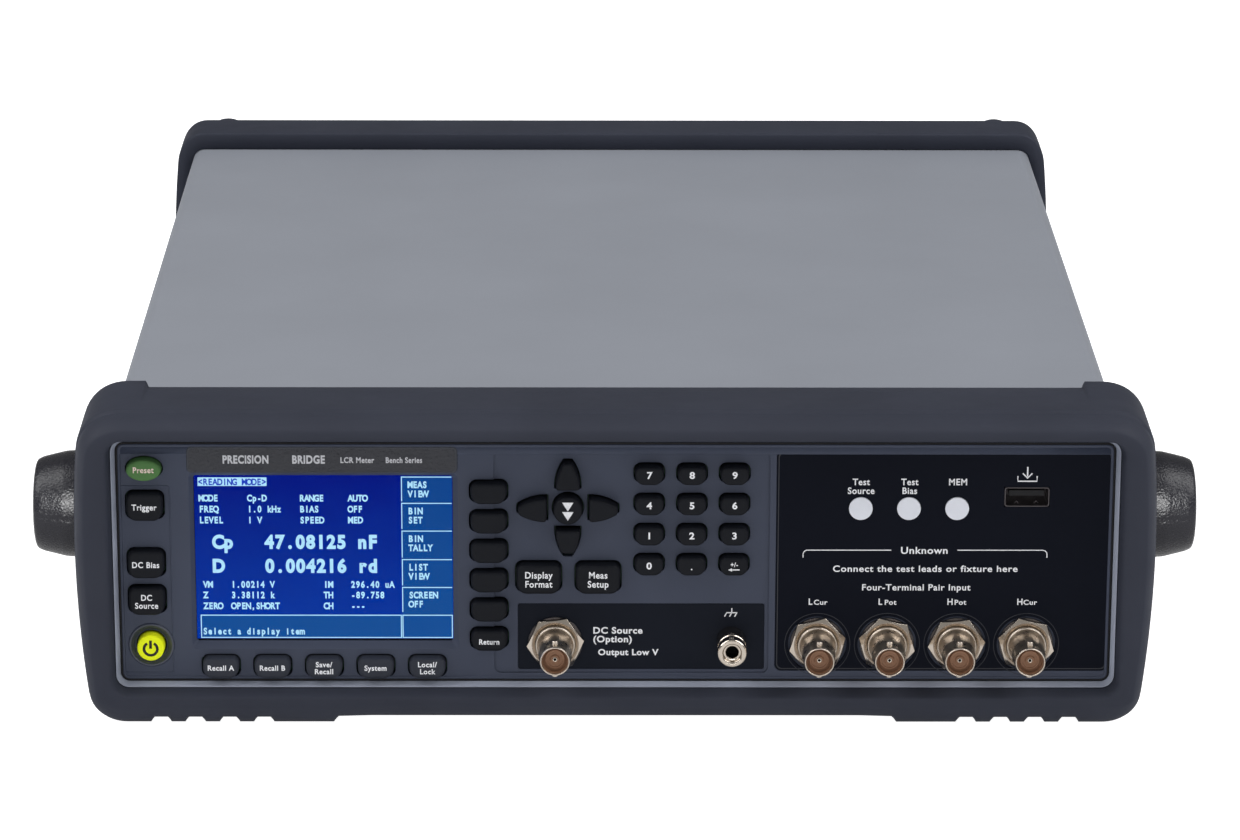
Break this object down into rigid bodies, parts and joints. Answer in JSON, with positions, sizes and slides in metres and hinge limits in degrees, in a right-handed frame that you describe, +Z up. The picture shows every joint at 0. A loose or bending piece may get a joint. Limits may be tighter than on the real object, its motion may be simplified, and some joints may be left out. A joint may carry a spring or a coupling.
{
  "type": "lcr meter",
  "caption": "Bench impedance meter: wide grey sleeve case between rubber bumpers, bail handle, display, keypad and coaxial test terminals on the front.",
  "frame": {"origin": "on the table plane under the centre of the bounding box, with the handle folded under the case", "axes": "+X to the operator's right, +Y from the front panel to the back, +Z up"},
  "size_m": [0.375, 0.399, 0.105],
  "materials": {
    "bumper_rubber": "satin charcoal elastomer with a fine grain",
    "cover_paint": "fine textured grey powder paint",
    "sheet_steel": "zinc-plated sheet",
    "panel_plastic": "fine-grained dark blue-grey moulding",
    "window": "clear anti-glare pane",
    "display_frame": "lit blue screen in a dark frame",
    "plate_plastic": "near-black printed film, low gloss",
    "nickel": "bright nickel plate with a warm tint",
    "insulator": "tan moulded insulator",
    "lamp_lens": "milky light-pipe caps",
    "board": "green solder mask",
    "black_plastic": "black moulded plastic",
    "rear_paint": "grey painted sheet",
    "handle_plastic": "black moulding with a coarse grain",
    "zinc": "zinc-plated steel",
    "key_rubber": "near-black silicone with pale legends",
    "power_key": "bright yellow-green silicone",
    "preset_key": "muted green silicone"
  },
  "bodies": {
    "root": {"front_bumper": "bumper_rubber", "rear_bumper": "bumper_rubber", "cover": "cover_paint", "chassis": "sheet_steel", "front_panel": "panel_plastic", "display_window": "window", "display_module": "display_frame", "terminal_plate": "plate_plastic", "bnc_bodies": "nickel", "bnc_nuts": "nickel", "bnc_cores": "insulator", "ground_terminal": "nickel", "usb_port": "sheet_steel", "indicator_lamps": "lamp_lens", "keypad_board": "board", "main_board": "board", "io_connectors": "nickel", "power_supply": "sheet_steel", "fan_frame": "black_plastic", "rear_panel": "rear_paint", "power_inlet": "black_plastic", "handle_pivots": "zinc", "screws": "zinc"},
    "handle": {"handle": "handle_plastic"},
    "fan_rotor": {"fan_rotor": "black_plastic"},
    "key_preset": {"key_preset": "preset_key"},
    "key_trigger": {"key_trigger": "key_rubber"},
    "key_dc_bias": {"key_dc_bias": "key_rubber"},
    "key_dc_source": {"key_dc_source": "key_rubber"},
    "key_power": {"key_power": "power_key"},
    "key_recall_a": {"key_recall_a": "key_rubber"},
    "key_recall_b": {"key_recall_b": "key_rubber"},
    "key_save_recall": {"key_save_recall": "key_rubber"},
    "key_system": {"key_system": "key_rubber"},
    "key_local": {"key_local": "key_rubber"},
    "softkey_1": {"softkey_1": "key_rubber"},
    "softkey_2": {"softkey_2": "key_rubber"},
    "softkey_3": {"softkey_3": "key_rubber"},
    "softkey_4": {"softkey_4": "key_rubber"},
    "softkey_5": {"softkey_5": "key_rubber"},
    "key_return": {"key_return": "key_rubber"},
    "key_up": {"key_up": "key_rubber"},
    "key_down": {"key_down": "key_rubber"},
    "key_left": {"key_left": "key_rubber"},
    "key_right": {"key_right": "key_rubber"},
    "key_enter": {"key_enter": "key_rubber"},
    "key_display_format": {"key_display_format": "key_rubber"},
    "key_meas_setup": {"key_meas_setup": "key_rubber"},
    "key_0": {"key_0": "key_rubber"},
    "key_1": {"key_1": "key_rubber"},
    "key_2": {"key_2": "key_rubber"},
    "key_3": {"key_3": "key_rubber"},
    "key_4": {"key_4": "key_rubber"},
    "key_5": {"key_5": "key_rubber"},
    "key_6": {"key_6": "key_rubber"},
    "key_7": {"key_7": "key_rubber"},
    "key_8": {"key_8": "key_rubber"},
    "key_9": {"key_9": "key_rubber"},
    "key_point": {"key_point": "key_rubber"},
    "key_sign": {"key_sign": "key_rubber"}
  },
  "joints": [
    {"name": "handle_swing", "type": "hinge", "parent": "root", "child": "handle", "pos_m": [0, -0.1325, 0.058], "axis": [-1, 0, 0], "range_deg": [0, 250]},
    {"name": "fan_spin", "type": "hinge", "parent": "root", "child": "fan_rotor", "pos_m": [0.104, 0.16, 0.054], "axis": [0, 1, 0], "continuous": true},
    {"name": "key_preset_press", "type": "slide", "parent": "root", "child": "key_preset", "axis": [0, 1, 0], "range_m": [0, 0.001], "stiffness_N_per_m": 60},
    {"name": "key_trigger_press", "type": "slide", "parent": "root", "child": "key_trigger", "axis": [0, 1, 0], "range_m": [0, 0.001], "stiffness_N_per_m": 60},
    {"name": "key_dc_bias_press", "type": "slide", "parent": "root", "child": "key_dc_bias", "axis": [0, 1, 0], "range_m": [0, 0.001], "stiffness_N_per_m": 60},
    {"name": "key_dc_source_press", "type": "slide", "parent": "root", "child": "key_dc_source", "axis": [0, 1, 0], "range_m": [0, 0.001], "stiffness_N_per_m": 60},
    {"name": "key_power_press", "type": "slide", "parent": "root", "child": "key_power", "axis": [0, 1, 0], "range_m": [0, 0.001], "stiffness_N_per_m": 60},
    {"name": "key_recall_a_press", "type": "slide", "parent": "root", "child": "key_recall_a", "axis": [0, 1, 0], "range_m": [0, 0.001], "stiffness_N_per_m": 60},
    {"name": "key_recall_b_press", "type": "slide", "parent": "root", "child": "key_recall_b", "axis": [0, 1, 0], "range_m": [0, 0.001], "stiffness_N_per_m": 60},
    {"name": "key_save_recall_press", "type": "slide", "parent": "root", "child": "key_save_recall", "axis": [0, 1, 0], "range_m": [0, 0.001], "stiffness_N_per_m": 60},
    {"name": "key_system_press", "type": "slide", "parent": "root", "child": "key_system", "axis": [0, 1, 0], "range_m": [0, 0.001], "stiffness_N_per_m": 60},
    {"name": "key_local_press", "type": "slide", "parent": "root", "child": "key_local", "axis": [0, 1, 0], "range_m": [0, 0.001], "stiffness_N_per_m": 60},
    {"name": "softkey_1_press", "type": "slide", "parent": "root", "child": "softkey_1", "axis": [0, 1, 0], "range_m": [0, 0.001], "stiffness_N_per_m": 60},
    {"name": "softkey_2_press", "type": "slide", "parent": "root", "child": "softkey_2", "axis": [0, 1, 0], "range_m": [0, 0.001], "stiffness_N_per_m": 60},
    {"name": "softkey_3_press", "type": "slide", "parent": "root", "child": "softkey_3", "axis": [0, 1, 0], "range_m": [0, 0.001], "stiffness_N_per_m": 60},
    {"name": "softkey_4_press", "type": "slide", "parent": "root", "child": "softkey_4", "axis": [0, 1, 0], "range_m": [0, 0.001], "stiffness_N_per_m": 60},
    {"name": "softkey_5_press", "type": "slide", "parent": "root", "child": "softkey_5", "axis": [0, 1, 0], "range_m": [0, 0.001], "stiffness_N_per_m": 60},
    {"name": "key_return_press", "type": "slide", "parent": "root", "child": "key_return", "axis": [0, 1, 0], "range_m": [0, 0.001], "stiffness_N_per_m": 60},
    {"name": "key_up_press", "type": "slide", "parent": "root", "child": "key_up", "axis": [0, 1, 0], "range_m": [0, 0.001], "stiffness_N_per_m": 60},
    {"name": "key_down_press", "type": "slide", "parent": "root", "child": "key_down", "axis": [0, 1, 0], "range_m": [0, 0.001], "stiffness_N_per_m": 60},
    {"name": "key_left_press", "type": "slide", "parent": "root", "child": "key_left", "axis": [0, 1, 0], "range_m": [0, 0.001], "stiffness_N_per_m": 60},
    {"name": "key_right_press", "type": "slide", "parent": "root", "child": "key_right", "axis": [0, 1, 0], "range_m": [0, 0.001], "stiffness_N_per_m": 60},
    {"name": "key_enter_press", "type": "slide", "parent": "root", "child": "key_enter", "axis": [0, 1, 0], "range_m": [0, 0.001], "stiffness_N_per_m": 60},
    {"name": "key_display_format_press", "type": "slide", "parent": "root", "child": "key_display_format", "axis": [0, 1, 0], "range_m": [0, 0.001], "stiffness_N_per_m": 60},
    {"name": "key_meas_setup_press", "type": "slide", "parent": "root", "child": "key_meas_setup", "axis": [0, 1, 0], "range_m": [0, 0.001], "stiffness_N_per_m": 60},
    {"name": "key_0_press", "type": "slide", "parent": "root", "child": "key_0", "axis": [0, 1, 0], "range_m": [0, 0.001], "stiffness_N_per_m": 60},
    {"name": "key_1_press", "type": "slide", "parent": "root", "child": "key_1", "axis": [0, 1, 0], "range_m": [0, 0.001], "stiffness_N_per_m": 60},
    {"name": "key_2_press", "type": "slide", "parent": "root", "child": "key_2", "axis": [0, 1, 0], "range_m": [0, 0.001], "stiffness_N_per_m": 60},
    {"name": "key_3_press", "type": "slide", "parent": "root", "child": "key_3", "axis": [0, 1, 0], "range_m": [0, 0.001], "stiffness_N_per_m": 60},
    {"name": "key_4_press", "type": "slide", "parent": "root", "child": "key_4", "axis": [0, 1, 0], "range_m": [0, 0.001], "stiffness_N_per_m": 60},
    {"name": "key_5_press", "type": "slide", "parent": "root", "child": "key_5", "axis": [0, 1, 0], "range_m": [0, 0.001], "stiffness_N_per_m": 60},
    {"name": "key_6_press", "type": "slide", "parent": "root", "child": "key_6", "axis": [0, 1, 0], "range_m": [0, 0.001], "stiffness_N_per_m": 60},
    {"name": "key_7_press", "type": "slide", "parent": "root", "child": "key_7", "axis": [0, 1, 0], "range_m": [0, 0.001], "stiffness_N_per_m": 60},
    {"name": "key_8_press", "type": "slide", "parent": "root", "child": "key_8", "axis": [0, 1, 0], "range_m": [0, 0.001], "stiffness_N_per_m": 60},
    {"name": "key_9_press", "type": "slide", "parent": "root", "child": "key_9", "axis": [0, 1, 0], "range_m": [0, 0.001], "stiffness_N_per_m": 60},
    {"name": "key_point_press", "type": "slide", "parent": "root", "child": "key_point", "axis": [0, 1, 0], "range_m": [0, 0.001], "stiffness_N_per_m": 60},
    {"name": "key_sign_press", "type": "slide", "parent": "root", "child": "key_sign", "axis": [0, 1, 0], "range_m": [0, 0.001], "stiffness_N_per_m": 60}
  ]
}
